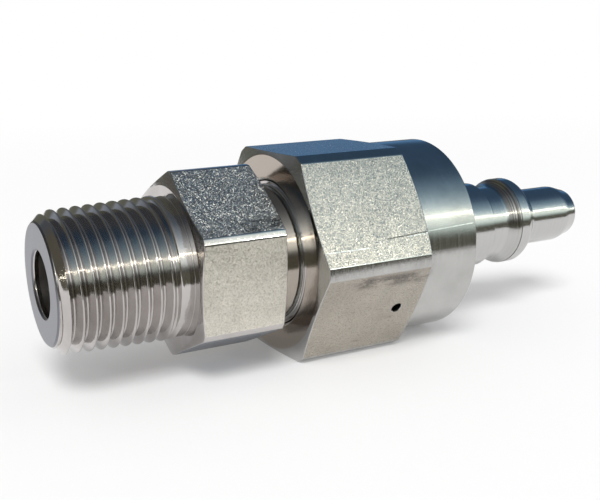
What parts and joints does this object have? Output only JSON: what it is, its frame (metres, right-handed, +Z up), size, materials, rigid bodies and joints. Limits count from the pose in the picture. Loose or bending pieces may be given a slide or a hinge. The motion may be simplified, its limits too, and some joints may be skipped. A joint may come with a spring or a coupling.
{
  "type": "quick coupling",
  "caption": "High-pressure swivel quick coupling: male pipe thread, wrench hexagons and a round body that carries a turning locking plug on sealed ball bearings.",
  "frame": {"origin": "centre of the threaded end face, on the swivel axis", "axes": "+X along the swivel axis from the threaded end to the nose of the plug; +Z up, with the coupling lying on the lowest flat of its large hexagon"},
  "size_m": [0.0985, 0.0356, 0.0318],
  "materials": {
    "pickled_stainless": "pickled and lightly blasted stainless steel, turned thread",
    "satin_stainless": "satin stainless steel with fine turning lines",
    "turned_stainless": "fine turned stainless steel",
    "machined_steel": "plain machined steel",
    "spring_steel": "drawn spring wire",
    "bearing_steel": "ground bearing steel",
    "pressed_steel": "thin pressed sheet",
    "cage_brass": "machined brass",
    "sintered_carbide": "lapped sintered carbide",
    "seal_polymer": "white seal polymer",
    "nitrile_rubber": "black nitrile rubber"
  },
  "bodies": {
    "housing": {"inlet_adapter": "pickled_stainless", "inlet_o_ring": "nitrile_rubber", "swivel_body": "satin_stainless", "clamp_sleeve": "machined_steel", "wiper_ring": "seal_polymer", "face_seal": "seal_polymer", "face_seal_o_ring": "nitrile_rubber", "spring_washer": "machined_steel", "seal_spring": "spring_steel", "inlet_bearing_outer_race": "bearing_steel", "inlet_bearing_shield": "pressed_steel", "plug_bearing_outer_race": "bearing_steel", "plug_bearing_shield": "pressed_steel"},
    "plug": {"plug_shaft": "turned_stainless", "shaft_nut": "machined_steel", "seal_seat": "sintered_carbide", "seat_o_ring": "nitrile_rubber", "inlet_bearing_inner_race": "bearing_steel", "plug_bearing_inner_race": "bearing_steel"},
    "inlet_ball_set": {"inlet_bearing_balls": "bearing_steel", "inlet_bearing_cage": "cage_brass"},
    "plug_ball_set": {"plug_bearing_balls": "bearing_steel", "plug_bearing_cage": "cage_brass"}
  },
  "joints": [
    {"name": "plug_swivel", "type": "hinge", "parent": "housing", "child": "plug", "pos_m": [0.0572, 0, 0], "axis": [1, 0, 0], "continuous": true},
    {"name": "inlet_ball_roll", "type": "hinge", "parent": "housing", "child": "inlet_ball_set", "pos_m": [0.0547, 0, 0], "axis": [1, 0, 0], "continuous": true},
    {"name": "plug_ball_roll", "type": "hinge", "parent": "housing", "child": "plug_ball_set", "pos_m": [0.0597, 0, 0], "axis": [1, 0, 0], "continuous": true}
  ],
  "couplings": [
    {"joint": "inlet_ball_roll", "follows": "plug_swivel", "ratio": 0.40421},
    {"joint": "plug_ball_roll", "follows": "plug_swivel", "ratio": 0.40421}
  ]
}
